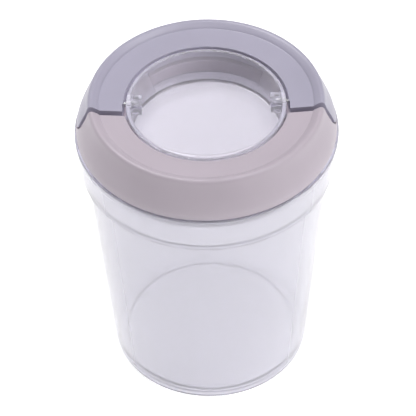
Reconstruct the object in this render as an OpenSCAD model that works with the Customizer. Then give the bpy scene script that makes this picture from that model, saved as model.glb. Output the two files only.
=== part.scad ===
// Round clear storage canister with a flip-lock lid. A half-ring handle
// folds flat into the rear of the lid. Folded down, its cams draw the clear
// centre cup up and squeeze the gasket against the bore of the canister.
// Raised, it lets the cup down, frees the gasket and lifts the lid off.
// Millimetres. +Z up, Z = 0 is the table, the Z axis is the canister's axis.
// Front is -Y, the handle folds down over the +Y half.

/* [Canister] */
// Outer radius of the canister's rim
rim_r = 62.5; // [62.3:0.1:63]
// Height of the open canister without its lid
canister_h = 141.9; // [141.5:0.1:141.9]
// Outer radius just under the collar
shoulder_r = 58.8; // [58.4:0.1:59.2]
// Outer radius near the base
base_r = 49.4; // [46:0.2:52]
// Height of the underside of the collar step
collar_z = 122.1; // [112:0.5:126]
// Radius of the straight bore inside the collar
bore_r = 59.5; // [59.4:0.05:59.6]
// Wall thickness of the tapered body
wall = 2.4; // [1.8:0.1:3]
// Height of the inner floor
floor_z = 3.2; // [2.6:0.1:5]

/* [Lid] */
// Height of the flat ring at its inner edge
flat_z = 158.4; // [158.2:0.1:158.8]
// Radius of the round hole in the lid ring
hole_r = 38.7; // [38.6:0.05:38.9]
// Front plane where the lid ring's raised half begins
front_y = -8; // [-9:0.1:-7.6]
// Height of the deck under the handle
deck_z = 150; // [149.4:0.1:150.4]
// Shell thickness of the lid ring and the handle
shell_t = 2.0; // [1.8:0.1:2.2]

/* [Centre cup] */
// Outer radius of the clear cup
cup_r = 37.7; // [37.5:0.05:37.9]
// Wall thickness of the cup
cup_wall = 1.9; // [1.7:0.1:2.1]
// Height of the cup's rim
cup_top_z = 157.9; // [157.4:0.1:158.1]
// Height of the cup's floor inside
cup_floor_z = 139.2; // [138.9:0.1:139.6]
// How far the front lip reaches inwards from the cup's wall
lip_w = 1.9; // [1:0.1:2.6]
// Radius of the flange that carries the gasket
flange_r = 58.0; // [57:0.1:58.6]

/* [Handle and hinge] */
// Distance of the hinge axis behind the canister's axis
pivot_y = 2.5; // [2.2:0.1:2.8]
// Height of the hinge axis
pivot_z = 155.8; // [155.6:0.1:156]
// Front face of the folded handle
handle_y = -5.0; // [-5.2:0.1:-4.8]
// Distance that the cup sinks when the handle is raised
cam_drop = 1.4; // [1:0.1:1.5]
// Diameter of the hinge pins
pin_d = 2.4; // [2:0.1:2.6]
// Half width of the finger scoop in the rear of the handle
scoop_w = 17; // [12:1:20]

/* [Hidden] */
$fn = 144;
e = 0.01;

// ---- outline of the lid, shared by the lid ring and the handle ----
lid_bot = 142.4;                 // lower edge of the lid ring
flange_z = 138.0;                // height of the cup's flange
press_top = 143.2;               // upper face of the pressure ring
ledge_z = 144.5;                 // lid ring's ledge under the handle's skirt
pocket_z = 146.8;                // floor of the cam pockets
// cuts each corner of a line once, so that its bends run round
function soften(p) = [p[0], for (i = [0 : len(p) - 2]) each [0.75 * p[i] + 0.25 * p[i + 1], 0.25 * p[i] + 0.75 * p[i + 1]], p[len(p) - 1]];
// outer line from the ring's inner edge over the rim and down the slope
outer = soften([[hole_r, flat_z - 0.5], [hole_r + 0.15, flat_z - 0.15], [hole_r + 0.5, flat_z],
         [48.9, flat_z + 0.77], [50.4, flat_z + 0.88], [50.8, flat_z + 1.5], [51.7, flat_z + 2.1], [52.6, flat_z + 2.66], [53.3, flat_z + 3.05],
         [54.1, flat_z + 3.25], [54.9, flat_z + 3.05], [55.5, flat_z + 2.4],
         [56.0, flat_z + 1.2], [56.6, flat_z - 0.6], [57.6, flat_z - 2.9],
         [59.3, flat_z - 6.4], [60.9, flat_z - 10.6], [61.5, flat_z - 13.1]]);
// inner line of the shell, shell_t inside the outer line
inner = [[61.5 - shell_t, flat_z - 13.1], [60.8 - shell_t, flat_z - 10.9], [59.3 - shell_t - 0.1, flat_z - 7.0],
         [57.6 - shell_t - 0.1, flat_z - 3.6], [56.6 - shell_t - 0.1, flat_z - 1.3],
         [54.0, flat_z + 0.4], [53.4, flat_z + 0.6], [52.6, flat_z + 0.2],
         [51.2, flat_z - 0.9], [50.4, flat_z + 1.0 - shell_t], [hole_r + shell_t, flat_z - shell_t]];

// ---- cam: a round of cam_rr about a point off the hinge axis ----
cam_e = cam_drop / 2;
cam_h = pivot_z - pocket_z - 0.1;          // height of the hinge axis over the cam's lowest point
cam_rr = cam_h - cam_e;
skirt_rr = 10.4;                           // radius of the handle's skirt about the hinge axis
gap_rr = 11.2;                             // radius of the lid ring's matching hollow
pocket_x = 54.0;                           // outer end of the cam pockets
pocket_y = 11;                             // rear end of the cam pockets

module xcyl(r, x0, x1, y, z) translate([x0, y, z]) rotate([0, 90, 0]) cylinder(h = x1 - x0, r = r);
module block(x0, x1, y0, y1, z0, z1) translate([x0, y0, z0]) cube([x1 - x0, y1 - y0, z1 - z0]);
// the same thing on the left and on the right
module both() { children(); mirror([1, 0, 0]) children(); }

// ---------------------------------------------------------------- canister
module canister_body() {
  color([0.86, 0.85, 0.92, 0.35])
  difference() {
    rotate_extrude() polygon([
      [0, 1.0], [42.5, 1.0], [43.6, 0], [47.4, 0], [48.5, 0.5], [49.0, 1.5],
      [base_r, 5], [shoulder_r, collar_z], [shoulder_r + 2.0, collar_z], [shoulder_r + 2.25, collar_z + 0.3],
      [rim_r - 0.45, canister_h - 3.4], [rim_r - 0.1, canister_h - 3.15], [rim_r, canister_h - 2.8],
      [rim_r, canister_h - 0.7], [rim_r - 0.2, canister_h - 0.2], [rim_r - 0.7, canister_h],
      [bore_r + 0.7, canister_h], [bore_r + 0.15, canister_h - 0.3], [bore_r, canister_h - 0.9],
      [bore_r, collar_z + 3.0], [bore_r - 0.4, collar_z + 2.2],
      [shoulder_r - wall + 0.5, collar_z + 1.2], [shoulder_r - wall, collar_z],
      [base_r - wall + 0.25, 9], [base_r - wall - 0.5, 6.2], [base_r - wall - 1.6, 4.4],
      [base_r - wall - 3.2, floor_z], [0, floor_z]]);
    // shallow mould mark in the middle of the underside
    translate([0, 0, 0.6]) cylinder(h = 0.8, r = 3);
  }
}

// ---------------------------------------------------------------- lid ring
// filled section under the shared outline, down to z0, between r0 and r1
module lid_solid(r0, z0, r1) {
  rotate_extrude() polygon(concat(outer, [[r1, z0 + 0.9], [r1 - 0.2, z0 + 0.25], [r1 - 0.55, z0], [r0, z0]]));
}
// space above the deck and the ledge, where the folded handle lies
module handle_space() {
  difference() {
    union() {
      intersection() {
        rotate_extrude() polygon([[hole_r - 2, deck_z], [55.8, deck_z], [56.4, deck_z - 0.6], [56.6, ledge_z + 0.4],
          [57.0, ledge_z], [70, ledge_z], [70, 175], [hole_r - 2, 175]]);
        block(-70, 70, front_y, 70, 130, 180);
      }
      // cam pockets, and the sweep of the skirt beside them
      both() block(30, pocket_x, front_y, pocket_y, pocket_z, 176);
      both() block(pocket_x - 1, 71, front_y, pocket_y + 0.8, ledge_z, 176);
    }
    // beside the pockets the raised half reaches under the hinge in a hollow round
    difference() {
      both() block(pocket_x, 72, front_y - 1, pivot_y, 130, pivot_z - 3);
      xcyl(gap_rr, -73, 73, pivot_y, pivot_z);
    }
  }
}

module lid_ring() {
  color([0.74, 0.68, 0.76])
  difference() {
    lid_solid(hole_r, lid_bot, 61.75);
    // seat of the pressure ring
    translate([0, 0, lid_bot - 1]) cylinder(h = press_top - lid_bot + 1, r = 59.7);
    handle_space();
    // hollow of the raised front half
    intersection() {
      rotate_extrude() polygon(concat(inner, [[hole_r + shell_t, press_top - 1], [61.5 - shell_t, press_top - 1]]));
      block(-70, 70, -70, front_y - shell_t, 130, 170);
    }
    // hollow under the deck
    intersection() {
      rotate_extrude() polygon([[hole_r + shell_t, press_top - 1], [54.6, press_top - 1], [54.6, deck_z - 2], [hole_r + shell_t, deck_z - 2]]);
      block(-70, 70, pocket_y + shell_t, 70, 130, 170);
    }
    // groove for the pressure ring's snap rim
    rotate_extrude() polygon([[hole_r + shell_t - 0.1, press_top - 1], [hole_r + shell_t + 2.0, press_top - 1],
      [hole_r + shell_t + 2.0, press_top + 1.7], [hole_r + shell_t - 0.1, press_top + 1.7]]);
    // hollow under the floors of the cam pockets
    both() block(hole_r + 3.5, pocket_x - shell_t, front_y + 1, pocket_y - 1, press_top - 1, pocket_z - 1.9);
  }
}

// ------------------------------------------------- ring above the gasket
module pressure_ring() {
  color([0.88, 0.87, 0.94, 0.45])
  rotate_extrude() polygon([
    [hole_r + 0.2, lid_bot - 0.4], [59.0, lid_bot - 0.4], [59.3, lid_bot - 0.1], [59.3, press_top - 0.1],
    [hole_r + shell_t + 1.7, press_top - 0.1], [hole_r + shell_t + 1.6, press_top + 1.4],
    [hole_r + shell_t + 0.2, press_top + 1.4], [hole_r + shell_t + 0.2, press_top], [hole_r + 0.2, press_top]]);
}

// ---------------------------------------------------------------- gasket
module seal_gasket() {
  color([0.90, 0.89, 0.94, 0.7])
  rotate_extrude() polygon([
    [51.2, 138.5], [57.9, 138.5], [58.8, 138.8], [59.15, 139.5], [59.2, 140.2], [59.15, 140.9],
    [58.8, 141.6], [57.9, 141.9], [51.2, 141.9], [51.0, 141.6], [51.0, 138.8]]);
}

// ---------------------------------------------------------------- cup
module centre_cup() {
  color([0.87, 0.86, 0.93, 0.35])
  difference() {
    union() {
      rotate_extrude() polygon([
        [0, cup_floor_z - 2.0], [25.2, cup_floor_z - 2.0], [28.5, flange_z - 0.95], [34.5, flange_z - 1.75], [37.8, flange_z - 2.0], [flange_r - 0.4, flange_z - 2.0], [flange_r, flange_z - 1.6],
        [flange_r, flange_z + 0.2], [flange_r - 0.2, flange_z + 0.4],
        [50.6, flange_z + 0.4], [50.6, flange_z + 1.8], [50.3, flange_z + 2.1],
        [49.5, flange_z + 2.1], [49.2, flange_z + 1.8], [49.2, flange_z + 0.4],
        [cup_r + 0.6, flange_z + 0.4], [cup_r, flange_z + 1.0],
        [cup_r, cup_top_z - 0.5], [cup_r - 0.15, cup_top_z - 0.15], [cup_r - 0.5, cup_top_z],
        [cup_r - cup_wall + 0.5, cup_top_z], [cup_r - cup_wall + 0.15, cup_top_z - 0.15], [cup_r - cup_wall, cup_top_z - 0.5],
        [cup_r - cup_wall - 0.2, cup_floor_z + 1.4], [cup_r - cup_wall - 0.6, cup_floor_z + 0.5],
        [cup_r - cup_wall - 1.5, cup_floor_z], [0, cup_floor_z]]);
      // crescent lip inside the front of the rim
      difference() {
        translate([0, 0, cup_top_z - 1.0]) cylinder(h = 0.8, r = cup_r - cup_wall / 2);
        translate([0, 7.9, cup_top_z - 3]) cylinder(h = 4, r = cup_r - cup_wall - lip_w + 7.9);
      }
    }
    // holes for the two hinge pins
    xcyl(pin_d / 2 + 0.02, -45, -30, pivot_y, pivot_z);
    xcyl(pin_d / 2 + 0.02, 30, 45, pivot_y, pivot_z);
  }
}

// clear block inside the cup that holds a pin's inner end and hooks over the rim
module hinge_block() {
  color([0.90, 0.89, 0.95, 0.5])
  difference() {
    union() {
      intersection() {
        block(30.2, 37, pivot_y - 3.7, pivot_y + 3.7, 152.0, cup_top_z + 0.1);
        translate([0, 0, 150]) cylinder(h = 10, r = cup_r - cup_wall - 0.25);
      }
      intersection() {
        block(34.5, 38, pivot_y - 3.7, pivot_y + 3.7, cup_top_z + 0.08, cup_top_z + 0.7);
        translate([0, 0, 150]) cylinder(h = 10, r = cup_r - 0.4);
      }
    }
    // blind seat of the pin, open towards the cup's wall
    xcyl(pin_d / 2 + 0.02, 32.6, 45, pivot_y, pivot_z);
    // relief under the block
    block(31.6, 35, pivot_y - 2.3, pivot_y + 2.3, 151.9, 153.4);
  }
}
module hinge_block_right() hinge_block();
module hinge_block_left() mirror([1, 0, 0]) hinge_block();

// ---------------------------------------------------------------- pins
module hinge_pin() {
  color([0.70, 0.70, 0.73])
  translate([32.7, pivot_y, pivot_z]) rotate([0, 90, 0]) rotate_extrude()
    polygon([[0, 0], [pin_d / 2 - 0.2, 0], [pin_d / 2, 0.2], [pin_d / 2, 10.0], [pin_d / 2 - 0.2, 10.2], [0, 10.2]]);
}
module hinge_pin_right() hinge_pin();
module hinge_pin_left() mirror([1, 0, 0]) hinge_pin();

// ---------------------------------------------------------------- handle
// below the height zc and ahead of y1, all that lies outside a round about
// (yc, zc), between x0 and x1 on both sides
module outside_round(r, yc, zc, x0, x1, y1) {
  difference() {
    both() block(x0, x1, handle_y - 2, y1, 130, zc);
    xcyl(r, -x1 - 1, x1 + 1, yc, zc);
  }
}
module cam_rib(x0, x1) block(x0, x1, handle_y, pivot_y + 5, 140, 170);

module flip_handle() {
  color([0.66, 0.65, 0.76])
  difference() {
    lid_solid(hole_r, lid_bot, 61.5);
    // lower edge of the skirt
    block(-71, 71, -71, 71, 130, pivot_z - skirt_rr + 0.3);
    // the front half belongs to the lid ring
    block(-71, 71, -71, handle_y, 130, 180);
    // hollow underside, with the cam ribs left standing
    difference() {
      intersection() {
        rotate_extrude() polygon(concat(inner, [[hole_r + shell_t, 152.5], [hole_r - 2, 152.5], [hole_r - 2, 135], [61.5 - shell_t, 135]]));
        block(-70, 70, handle_y + shell_t, 70, 130, 170);
      }
      both() { cam_rib(39.5, 42.9); cam_rib(50.2, 52.6); }
    }
    // cam round at the ribs and the end wall, skirt round outside them
    outside_round(cam_rr, pivot_y + cam_e, pivot_z - cam_e, 20, 54.5, pivot_y + 7);
    outside_round(skirt_rr, pivot_y, pivot_z, 54.4, 72, pivot_y);
    // straight relief beside the hinge
    both() block(30, 39.2, handle_y - 1, 0.2, 130, 170);
    // bores for the pins
    xcyl(pin_d / 2 + 0.06, -48, -38, pivot_y, pivot_z);
    xcyl(pin_d / 2 + 0.06, 38, 48, pivot_y, pivot_z);
    // finger scoop in the lower edge at the rear
    translate([0, 75, pivot_z - skirt_rr - 23.7]) rotate([90, 0, 0]) cylinder(h = 30, r = sqrt(scoop_w * scoop_w + 24 * 24));
  }
}

canister_body();
lid_ring();
pressure_ring();
seal_gasket();
centre_cup();
hinge_block_left();
hinge_block_right();
hinge_pin_left();
hinge_pin_right();
flip_handle();
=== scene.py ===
import math

import bmesh
import bpy
import numpy as np
from mathutils import Matrix, Vector


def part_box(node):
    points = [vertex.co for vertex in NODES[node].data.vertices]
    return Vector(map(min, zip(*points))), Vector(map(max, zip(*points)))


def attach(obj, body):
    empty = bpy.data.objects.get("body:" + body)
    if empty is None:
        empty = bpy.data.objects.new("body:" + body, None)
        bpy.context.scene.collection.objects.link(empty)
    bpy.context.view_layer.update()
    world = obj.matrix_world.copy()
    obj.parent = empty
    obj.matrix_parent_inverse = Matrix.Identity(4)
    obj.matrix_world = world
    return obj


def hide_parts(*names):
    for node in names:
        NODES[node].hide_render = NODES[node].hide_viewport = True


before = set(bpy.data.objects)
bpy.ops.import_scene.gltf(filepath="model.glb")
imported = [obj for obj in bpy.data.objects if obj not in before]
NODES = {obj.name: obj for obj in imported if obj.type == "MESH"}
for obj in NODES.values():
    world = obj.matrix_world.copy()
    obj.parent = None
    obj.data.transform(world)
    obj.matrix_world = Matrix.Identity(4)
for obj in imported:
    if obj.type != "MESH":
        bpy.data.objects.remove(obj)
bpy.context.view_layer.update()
MM = 0.001
SEG = 256                       # segments round the axis


# ------------------------------------------------------------------ camera
def make_camera():
    """Camera at the photograph's place: 1.1 m from the lid, 43.6 degrees above the table."""
    f, px, py = 2347.11, 208.0, 208.0
    el, az, roll = math.radians(43.64), math.radians(0.08), math.radians(-1.2)
    dist, u0, v0 = 1100.0, 206.08, 102.3
    target = np.array([0.0, 0.0, 158.38])
    away = np.array([math.sin(az) * math.cos(el), -math.cos(az) * math.cos(el), math.sin(el)])
    centre = target + dist * away
    z = -away
    x = np.cross(z, [0, 0, 1.0])
    x /= np.linalg.norm(x)
    y = np.cross(z, x)
    base = np.stack([x, y, z])
    ray = np.array([(u0 - px) / f, (v0 - py) / f, 1.0])
    ray /= np.linalg.norm(ray)
    a = np.array([0, 0, 1.0])
    v = np.cross(a, ray)
    c, s = a @ ray, np.linalg.norm(v)
    k = v / s
    K = np.array([[0, -k[2], k[1]], [k[2], 0, -k[0]], [-k[1], k[0], 0]])
    tilt = np.eye(3) + K * s + K @ K * (1 - c)
    spin = np.array([[math.cos(roll), -math.sin(roll), 0], [math.sin(roll), math.cos(roll), 0], [0, 0, 1]])
    w = tilt @ spin @ base
    m = Matrix(((w[0][0], -w[1][0], -w[2][0], centre[0] * MM),
                (w[0][1], -w[1][1], -w[2][1], centre[1] * MM),
                (w[0][2], -w[1][2], -w[2][2], centre[2] * MM),
                (0, 0, 0, 1)))
    data = bpy.data.cameras.new("camera")
    data.sensor_width = 36.0
    data.lens = f / 416.0 * 36.0
    data.clip_start, data.clip_end = 0.05, 20
    cam = bpy.data.objects.new("camera", data)
    cam.matrix_world = m
    bpy.context.scene.collection.objects.link(cam)
    bpy.context.scene.camera = cam


make_camera()


# --------------------------------------------------------------- materials
class Nodes:
    """Small helper that adds shader nodes and links them."""

    def __init__(self, name):
        self.mat = bpy.data.materials.new(name)
        self.mat.use_nodes = True
        self.tree = self.mat.node_tree
        self.bsdf = self.tree.nodes["Principled BSDF"]
        self.out = self.tree.nodes["Material Output"]
        self.coord = self.tree.nodes.new("ShaderNodeTexCoord").outputs["Object"]

    def new(self, kind, **inputs):
        n = self.tree.nodes.new(kind)
        for key, value in inputs.items():
            n.inputs[key.replace("_", " ")].default_value = value
        return n

    def link(self, a, b):
        self.tree.links.new(a, b)

    def noise(self, scale, detail=3.0, rough=0.55, stretch=None):
        n = self.new("ShaderNodeTexNoise", Scale=scale, Detail=detail, Roughness=rough)
        if stretch:
            m = self.tree.nodes.new("ShaderNodeMapping")
            m.inputs["Scale"].default_value = stretch
            self.link(self.coord, m.inputs["Vector"])
            self.link(m.outputs["Vector"], n.inputs["Vector"])
        else:
            self.link(self.coord, n.inputs["Vector"])
        return n.outputs["Fac"]

    def ramp(self, fac, lo, hi, a, b):
        r = self.tree.nodes.new("ShaderNodeMapRange")
        r.inputs["From Min"].default_value, r.inputs["From Max"].default_value = lo, hi
        r.inputs["To Min"].default_value, r.inputs["To Max"].default_value = a, b
        self.link(fac, r.inputs["Value"])
        return r.outputs["Result"]

    def colours(self, fac, stops):
        r = self.tree.nodes.new("ShaderNodeValToRGB")
        r.color_ramp.elements[0].position, r.color_ramp.elements[0].color = stops[0][0], (*stops[0][1], 1)
        r.color_ramp.elements[1].position, r.color_ramp.elements[1].color = stops[1][0], (*stops[1][1], 1)
        for pos, col in stops[2:]:
            el = r.color_ramp.elements.new(pos)
            el.color = (*col, 1)
        self.link(fac, r.inputs["Fac"])
        return r.outputs["Color"]

    def bump(self, height, strength, distance, normal=None):
        b = self.new("ShaderNodeBump", Strength=strength, Distance=distance)
        self.link(height, b.inputs["Height"])
        if normal is not None:
            self.link(normal, b.inputs["Normal"])
        return b.outputs["Normal"]

    def set(self, **values):
        for key, value in values.items():
            self.bsdf.inputs[key.replace("_", " ")].default_value = value


def lin(r, g, b):
    """sRGB 0..255 to linear."""
    out = []
    for c in (r, g, b):
        c /= 255
        out.append(c / 12.92 if c <= 0.04045 else ((c + 0.055) / 1.055) ** 2.4)
    return tuple(out)


def moulded(name, srgb, rough=0.42):
    """Satin injection-moulded plastic: spark-eroded micro texture, slow colour and gloss drift."""
    n = Nodes(name)
    base = np.array(lin(*srgb))
    drift = n.noise(38.0, 3.0, 0.5)
    colour = n.colours(drift, [(0.30, tuple(base * 0.975)), (0.70, tuple(np.minimum(base * 1.02, 1)))])
    n.link(colour, n.bsdf.inputs["Base Color"])
    fine = n.noise(5200.0, 2.0, 0.6)
    mid = n.noise(900.0, 3.0, 0.5)
    n.link(n.ramp(mid, 0.3, 0.7, rough - 0.035, rough + 0.04), n.bsdf.inputs["Roughness"])
    n.link(n.bump(fine, 0.35, 0.000012, n.bump(mid, 0.25, 0.00002)), n.bsdf.inputs["Normal"])
    n.set(IOR=1.49)
    n.bsdf.inputs["Subsurface Weight"].default_value = 0.06
    n.bsdf.inputs["Subsurface Radius"].default_value = (1.0, 0.85, 1.0)
    n.bsdf.inputs["Subsurface Scale"].default_value = 0.0012
    return n.mat


def clear(name, rough=0.015, tint=(0.93, 0.925, 0.965), pass_through=0.88, absorb=(0.62, 0.58, 0.90), density=30.0, ior=1.50, wave=0.2):
    """Clear plastic: tinted by its thickness, faint flow waves and a hair of haze."""
    n = Nodes(name)
    n.set(Base_Color=(*tint, 1), IOR=ior)
    n.bsdf.inputs["Transmission Weight"].default_value = pass_through
    haze = n.noise(160.0, 3.0, 0.5)
    n.link(n.ramp(haze, 0.35, 0.75, rough * 0.6, rough * 1.7), n.bsdf.inputs["Roughness"])
    flow = n.noise(22.0, 2.0, 0.4, stretch=(1, 1, 0.35))
    fine = n.noise(900.0, 2.0, 0.5)
    n.link(n.bump(fine, 0.05, 0.00001, n.bump(flow, wave, 0.0004)), n.bsdf.inputs["Normal"])
    vol = n.new("ShaderNodeVolumeAbsorption", Color=(*absorb, 1), Density=density)
    n.link(vol.outputs["Volume"], n.out.inputs["Volume"])
    return n.mat


def silicone_mat():
    n = Nodes("silicone")
    base = np.array(lin(226, 222, 236))
    n.link(n.colours(n.noise(70.0), [(0.3, tuple(base * 0.97)), (0.7, tuple(np.minimum(base * 1.02, 1)))]), n.bsdf.inputs["Base Color"])
    n.link(n.ramp(n.noise(700.0), 0.3, 0.7, 0.36, 0.52), n.bsdf.inputs["Roughness"])
    n.link(n.bump(n.noise(2600.0), 0.3, 0.00002), n.bsdf.inputs["Normal"])
    n.set(IOR=1.41)
    n.bsdf.inputs["Transmission Weight"].default_value = 0.35
    n.bsdf.inputs["Subsurface Weight"].default_value = 0.3
    n.bsdf.inputs["Subsurface Radius"].default_value = (1.0, 1.0, 1.0)
    n.bsdf.inputs["Subsurface Scale"].default_value = 0.002
    return n.mat


def steel_mat():
    n = Nodes("pin_steel")
    base = np.array([0.60, 0.60, 0.62])
    n.link(n.colours(n.noise(500.0), [(0.3, tuple(base * 0.93)), (0.7, tuple(base * 1.04))]), n.bsdf.inputs["Base Color"])
    brushed = n.noise(900.0, 3.0, 0.6, stretch=(12, 1, 1))
    n.link(n.ramp(brushed, 0.3, 0.7, 0.20, 0.34), n.bsdf.inputs["Roughness"])
    n.link(n.bump(brushed, 0.15, 0.00001), n.bsdf.inputs["Normal"])
    n.set(Metallic=1.0)
    return n.mat


MAUVE = moulded("mauve_plastic", (199, 188, 199), 0.34)
GREY = moulded("grey_plastic", (180, 176, 195), 0.32)
CLEAR = clear("clear_plastic", pass_through=0.68, tint=(0.965, 0.955, 1.0), absorb=(0.72, 0.70, 0.92), density=38)
CLEAR_CUP = clear("clear_plastic_cup", pass_through=0.75, tint=(0.925, 0.905, 0.955), absorb=(0.62, 0.60, 0.80), density=24)
CLEAR_BLOCK = clear("clear_plastic_block", rough=0.03, pass_through=0.88, tint=(0.955, 0.95, 0.985))
FROSTED = clear("clear_plastic_frosted", rough=0.16, pass_through=0.5, tint=(0.955, 0.945, 0.985), density=12)
SILICONE = silicone_mat()
STEEL = steel_mat()


# ---------------------------------------------------------------- geometry
def fillet(points, step=14.0):
    """Closed outline of (r, z, radius): each corner becomes an arc of that radius."""
    out, n = [], len(points)
    for i, (x, y, rad) in enumerate(points):
        p = Vector((x, y))
        a = Vector(points[i - 1][:2]) - p
        b = Vector(points[(i + 1) % n][:2]) - p
        if rad <= 0 or a.length < 1e-6 or b.length < 1e-6:
            out.append((x, y))
            continue
        ua, ub = a.normalized(), b.normalized()
        turn = math.pi - ua.angle(ub)
        if turn < math.radians(2):
            out.append((x, y))
            continue
        t = min(rad * math.tan(turn / 2), a.length * 0.48, b.length * 0.48)
        r = t / math.tan(turn / 2)
        start, end = p + ua * t, p + ub * t
        centre = p + (ua + ub).normalized() * (r / math.cos(turn / 2))
        steps = max(2, math.ceil(math.degrees(turn) / step))
        va, vb = start - centre, end - centre
        full = va.angle(vb)
        sign = 1 if va.x * vb.y - va.y * vb.x > 0 else -1
        for k in range(steps + 1):
            ang = sign * full * k / steps
            ca, sa = math.cos(ang), math.sin(ang)
            out.append((centre.x + va.x * ca - va.y * sa, centre.y + va.x * sa + va.y * ca))
    return out


def finish_mesh(name, bm, mat, body, nodes, angle=38):
    bmesh.ops.recalc_face_normals(bm, faces=bm.faces)
    me = bpy.data.meshes.new(name)
    bm.to_mesh(me)
    bm.free()
    me.materials.append(mat)
    me.polygons.foreach_set("use_smooth", [True] * len(me.polygons))
    me.set_sharp_from_angle(angle=math.radians(angle))
    o = bpy.data.objects.new(name, me)
    bpy.context.scene.collection.objects.link(o)
    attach(o, body)
    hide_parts(*nodes)
    return o


def lathe_bm(profile, seg=SEG):
    """Closed outline in mm turned about Z. Points on the axis become one vertex each."""
    bm = bmesh.new()
    rings = []
    for r, z in profile:
        if r < 1e-6:
            rings.append([bm.verts.new((0, 0, z * MM))])
        else:
            rings.append([bm.verts.new((r * MM * math.cos(2 * math.pi * i / seg), r * MM * math.sin(2 * math.pi * i / seg), z * MM)) for i in range(seg)])
    for a, b in zip(rings, rings[1:] + rings[:1]):
        for i in range(seg):
            j = (i + 1) % seg
            if len(a) == 1 and len(b) == 1:
                break
            if len(a) == 1:
                bm.faces.new((a[0], b[j], b[i]))
            elif len(b) == 1:
                bm.faces.new((a[i], a[j], b[0]))
            else:
                bm.faces.new((a[i], a[j], b[j], b[i]))
    return bm


# ---------------------------------------------------------------- canister
WALL = 2.4
canister_profile = fillet([
    (0, 1.4, 0), (2.9, 1.4, 0.1), (3.0, 1.0, 0.15), (42.3, 1.0, 0.8), (43.5, 0, 0.5), (47.4, 0, 0.9), (49.0, 1.4, 1.2), (49.4, 5, 6),
    (58.8, 122.1, 0.25), (61.0, 122.1, 0.35),
    (62.05, 138.5, 0.15), (62.4, 138.75, 0.2), (62.5, 139.3, 0.4), (62.5, 141.9, 0.5),
    (59.5, 141.9, 0.6), (59.5, 125.0, 1.0), (56.55, 122.6, 1.0),
    (49.4 - WALL + 0.25, 9, 4), (46.0, 3.2, 3.2), (0, 3.2, 0)])
finish_mesh("canister_clear", lathe_bm(canister_profile), CLEAR, "canister", ["canister_body"])

# ----------------------------------------------------------- pressure ring
ring_profile = fillet([
    (38.95, 142.0, 0.2), (59.3, 142.0, 0.25), (59.3, 143.1, 0.15), (42.5, 143.1, 0.2), (42.3, 144.6, 0.3),
    (40.9, 144.6, 0.3), (40.9, 143.2, 0.1), (38.95, 143.2, 0.2)])
press = finish_mesh("pressure_ring_clear", lathe_bm(ring_profile), FROSTED, "lid", ["pressure_ring"])
press.visible_shadow = False

# ------------------------------------------------------------------ gasket
gasket_profile = fillet([
    (51.0, 138.5, 0.3), (58.6, 138.5, 0.7), (59.2, 139.6, 0.8), (59.2, 140.8, 0.8), (58.6, 141.9, 0.7), (51.0, 141.9, 0.3)])
finish_mesh("seal_gasket_soft", lathe_bm(gasket_profile), SILICONE, "lid", ["seal_gasket"])

# --------------------------------------------------------------------- cup
CUP_R, CUP_IN, CUP_TOP, CUP_FLOOR = 37.7, 35.8, 157.9, 139.2
LIP_Z = (157.70, 157.69, 157.64, 157.52, 157.08, 156.96, 156.91, 156.90)
LIP_BACK = (9.9, 0.26, 0.08, 0.0, 0.0, 0.08, 0.26, 9.9)
cup_outside = fillet([
    (0, 137.2, 0), (25.2, 137.2, 12), (28.5, 137.05, 20), (34.5, 136.25, 20), (37.8, 136.0, 12), (58.0, 136.0, 0.4), (58.0, 138.4, 0.25), (50.6, 138.4, 0.1),
    (50.55, 140.1, 0.35), (49.25, 140.1, 0.35), (49.2, 138.4, 0.1),
    (CUP_R + 0.05, 138.4, 0.7), (CUP_R, CUP_TOP, 0.5), (CUP_IN, CUP_TOP, 0.2), (CUP_IN - 0.3, CUP_FLOOR, 1.5), (0, CUP_FLOOR, 0)])
LIP_AT = next(i for i, p in enumerate(cup_outside) if i > 20 and p[1] < CUP_TOP - 0.25 and p[0] < CUP_IN + 0.1)


def cup_bm(seg=SEG * 2):
    """The cup turned about Z; a crescent lip grows out of the rim's inside at the front."""
    bm = bmesh.new()
    rings = []
    for i, (r, z) in enumerate(cup_outside):
        if i == LIP_AT:
            for back, lz in zip(LIP_BACK, LIP_Z):
                wall = CUP_IN - 0.3 + 0.3 * (lz - CUP_FLOOR) / (CUP_TOP - CUP_FLOOR)
                ring = []
                for k in range(seg):
                    c, s = math.cos(2 * math.pi * k / seg), math.sin(2 * math.pi * k / seg)
                    edge = 7.9 * s + math.sqrt(41.8 ** 2 - (7.9 * c) ** 2)      # circle R 41.8 set back 7.9
                    rr = min(wall, edge + back)
                    ring.append(bm.verts.new((rr * MM * c, rr * MM * s, lz * MM)))
                rings.append(ring)
        if r < 1e-6:
            rings.append([bm.verts.new((0, 0, z * MM))])
        else:
            rings.append([bm.verts.new((r * MM * math.cos(2 * math.pi * k / seg), r * MM * math.sin(2 * math.pi * k / seg), z * MM)) for k in range(seg)])
    for a, b in zip(rings, rings[1:]):
        for i in range(seg):
            j = (i + 1) % seg
            if len(a) == 1:
                bm.faces.new((a[0], b[j], b[i]))
            elif len(b) == 1:
                bm.faces.new((a[i], a[j], b[0]))
            else:
                bm.faces.new((a[i], a[j], b[j], b[i]))
    return bm


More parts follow.
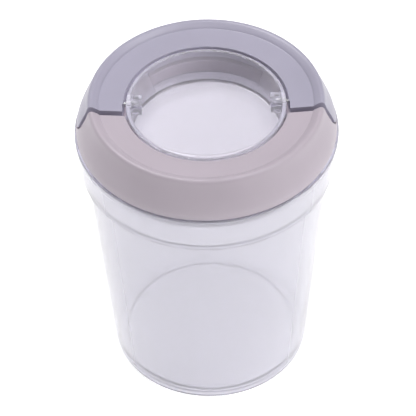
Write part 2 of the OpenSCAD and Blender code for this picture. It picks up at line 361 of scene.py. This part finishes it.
def cut_holes(bm):
    """Two holes for the pins through the cup's wall."""
    bmesh.ops.recalc_face_normals(bm, faces=bm.faces)
    me = bpy.data.meshes.new("cup_raw")
    bm.to_mesh(me)
    bm.free()
    o = bpy.data.objects.new("cup_raw", me)
    bpy.context.scene.collection.objects.link(o)
    tools = []
    for x in (-36.5, 36.5):
        tb = bmesh.new()
        m = Matrix.Translation(Vector((x, 2.5, 155.8)) * MM) @ Matrix.Rotation(math.pi / 2, 4, "Y")
        bmesh.ops.create_cone(tb, cap_ends=True, segments=48, radius1=1.22 * MM, radius2=1.22 * MM, depth=6 * MM, matrix=m)
        tm = bpy.data.meshes.new("hole")
        tb.to_mesh(tm)
        tb.free()
        t = bpy.data.objects.new("hole", tm)
        bpy.context.scene.collection.objects.link(t)
        mod = o.modifiers.new("hole", "BOOLEAN")
        mod.operation, mod.solver, mod.object = "DIFFERENCE", "EXACT", t
        tools.append(t)
    bpy.context.view_layer.update()
    cut = bpy.data.meshes.new_from_object(o.evaluated_get(bpy.context.evaluated_depsgraph_get()))
    out = bmesh.new()
    out.from_mesh(cut)
    bpy.data.objects.remove(o)
    for t in tools:
        bpy.data.objects.remove(t)
    return out


cup = finish_mesh("centre_cup_clear", cut_holes(cup_bm()), CLEAR_CUP, "cup", ["centre_cup"])
cup.visible_shadow = False      # clear: the light that falls into the cup reaches the lid's inner wall


def room(e, sharp_edges):
    """Width of the narrower face beside this edge, up to the next sharp edge across it."""
    least = 1.0
    for loop in e.link_loops:
        a, b = loop.vert.co, loop.link_loop_next.vert.co
        along = b - a
        if along.length < 1e-9:
            continue
        n = loop.face.normal
        inward = n.cross(along.normalized())
        for g in loop.face.edges:
            if g is e or g not in sharp_edges or set(g.verts) & set(e.verts):
                continue
            c, d = g.verts[0].co, g.verts[1].co - g.verts[0].co
            for end in (a, b):
                near = c + d * min(max((end - c).dot(d) / d.length_squared, 0), 1) - end
                if near.dot(inward) > 0.5 * near.length:
                    least = min(least, near.length)
            den = inward.cross(d).dot(n)
            if abs(den) < 1e-12:
                continue
            for k in (0.02, 0.35, 0.65, 0.98):
                m = a + along * k
                u = (c - m).cross(inward).dot(n) / den
                t = (c - m).cross(d).dot(n) / den
                if -0.02 <= u <= 1.02 and t > 0:
                    least = min(least, t)
    return least


def dressed(node, name, mat, body, width=0.22, segments=3, sharp=33):
    """The CAD node's own surface with its sharp edges rounded, less so where a face is narrow."""
    src = NODES[node]
    bm = bmesh.new()
    bm.from_mesh(src.data)
    bmesh.ops.remove_doubles(bm, verts=bm.verts, dist=2e-6)
    lo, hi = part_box(node)
    # cuts through the axis and through the pins stay as seams, so that no flat face closes round a hole
    cuts = [((0, 2.5, 0), (0, 1, 0)), ((0, 0, 155.8), (0, 0, 1))]
    if body != "cup":
        cuts = [((0, 0, 0), (math.cos(math.radians(t)), math.sin(math.radians(t)), 0)) for t in range(0, 180, 15)]
    for point, normal in cuts:
        co, no = Vector(point) * MM, Vector(normal)
        bmesh.ops.bisect_plane(bm, geom=bm.verts[:] + bm.edges[:] + bm.faces[:], dist=1e-6, plane_co=co, plane_no=no)
        for e in bm.edges:
            if all(abs((v.co - co).dot(no)) < 2e-6 for v in e.verts):
                e.seam = True
    bmesh.ops.dissolve_limit(bm, angle_limit=math.radians(0.4), verts=bm.verts, edges=bm.edges, delimit={"SEAM"})
    bmesh.ops.dissolve_degenerate(bm, dist=3e-5, edges=bm.edges)
    bmesh.ops.recalc_face_normals(bm, faces=bm.faces)
    weight = bm.edges.layers.float.get("bevel_weight_edge") or bm.edges.layers.float.new("bevel_weight_edge")
    edges = {e for e in bm.edges if len(e.link_faces) == 2 and e.calc_face_angle(0) > math.radians(sharp)}
    for e in edges:
        e[weight] = min(1.0, 0.40 * room(e, edges) / (width * MM))
    me = bpy.data.meshes.new(name + "_raw")
    bm.to_mesh(me)
    bm.free()
    raw = bpy.data.objects.new(name + "_raw", me)
    bpy.context.scene.collection.objects.link(raw)
    m = raw.modifiers.new("edges", "BEVEL")
    m.width, m.segments, m.limit_method, m.use_clamp_overlap, m.loop_slide = width * MM, segments, "WEIGHT", False, False
    m.offset_type = "OFFSET"
    bpy.context.view_layer.update()
    rounded = bpy.data.meshes.new_from_object(raw.evaluated_get(bpy.context.evaluated_depsgraph_get()))
    bpy.data.objects.remove(raw)
    bm = bmesh.new()
    bm.from_mesh(rounded)
    for v in bm.verts:
        for k in range(3):
            v.co[k] = min(max(v.co[k], lo[k]), hi[k])
    o = finish_mesh(name, bm, mat, body, [node], 50)
    w = o.modifiers.new("normals", "WEIGHTED_NORMAL")
    w.keep_sharp = True
    w.weight = 60
    return o


for side in ("left", "right"):
    block = dressed(f"hinge_block_{side}", f"hinge_block_{side}_clear", CLEAR_BLOCK, "cup", 0.15, 2)
    block.visible_shadow = False
    dressed(f"hinge_pin_{side}", f"hinge_pin_{side}_steel", STEEL, "cup", 0.06, 2)
dressed("lid_ring", "lid_ring_mauve", MAUVE, "lid")
dressed("flip_handle", "flip_handle_grey", GREY, "handle")


# ------------------------------------------------------- floor and lights
def make_stage():
    bm = bmesh.new()
    bmesh.ops.create_grid(bm, x_segments=2, y_segments=2, size=6)
    me = bpy.data.meshes.new("floor")
    bm.to_mesh(me)
    bm.free()
    n = Nodes("floor_white")
    n.link(n.colours(n.noise(3.0), [(0.3, (0.60, 0.60, 0.60)), (0.7, (0.61, 0.61, 0.61))]), n.bsdf.inputs["Base Color"])
    n.bsdf.inputs["Emission Color"].default_value = (1, 1, 1, 1)
    n.bsdf.inputs["Emission Strength"].default_value = 0.80
    n.set(Roughness=0.9)
    n.bsdf.inputs["Specular IOR Level"].default_value = 0.1
    me.materials.append(n.mat)
    o = bpy.data.objects.new("floor", me)
    o.location = (0, 0, -0.0003)
    bpy.context.scene.collection.objects.link(o)


make_stage()


def area(name, loc, target, size, watts, colour=(1, 1, 1)):
    d = bpy.data.lights.new(name, "AREA")
    d.shape, d.size, d.energy, d.color = "DISK", size, watts, colour
    o = bpy.data.objects.new(name, d)
    o.location = loc
    o.rotation_euler = (Vector(target) - Vector(loc)).to_track_quat("-Z", "Y").to_euler()
    bpy.context.scene.collection.objects.link(o)


def make_world():
    w = bpy.data.worlds.new("studio")
    bpy.context.scene.world = w
    w.use_nodes = True
    bg = w.node_tree.nodes["Background"]
    bg.inputs["Color"].default_value = (1, 1, 1, 1)
    bg.inputs["Strength"].default_value = 0.20


def polar(az, el, d):
    a, e = math.radians(az), math.radians(el)
    return (d * math.cos(a) * math.cos(e), d * math.sin(a) * math.cos(e), 0.15 + d * math.sin(e))


make_world()
area("low_right", polar(330, 18, 1.0), (0, 0, 0.14), 0.5, 1.96)
area("high_right", polar(0, 65, 1.0), (0, 0, 0.14), 0.5, 2.85)
area("high_rear", polar(135, 65, 1.0), (0, 0, 0.14), 0.5, 4.9)
area("high_front", polar(270, 65, 1.0), (0, 0, 0.14), 0.5, 0.7)

sc = bpy.context.scene
sc.view_settings.view_transform = "Standard"
sc.view_settings.look = "None"
sc.cycles.max_bounces = 20
sc.cycles.transmission_bounces = 18
sc.cycles.glossy_bounces = 6
sc.cycles.diffuse_bounces = 4
sc.cycles.transparent_max_bounces = 8
sc.cycles.use_denoising = True
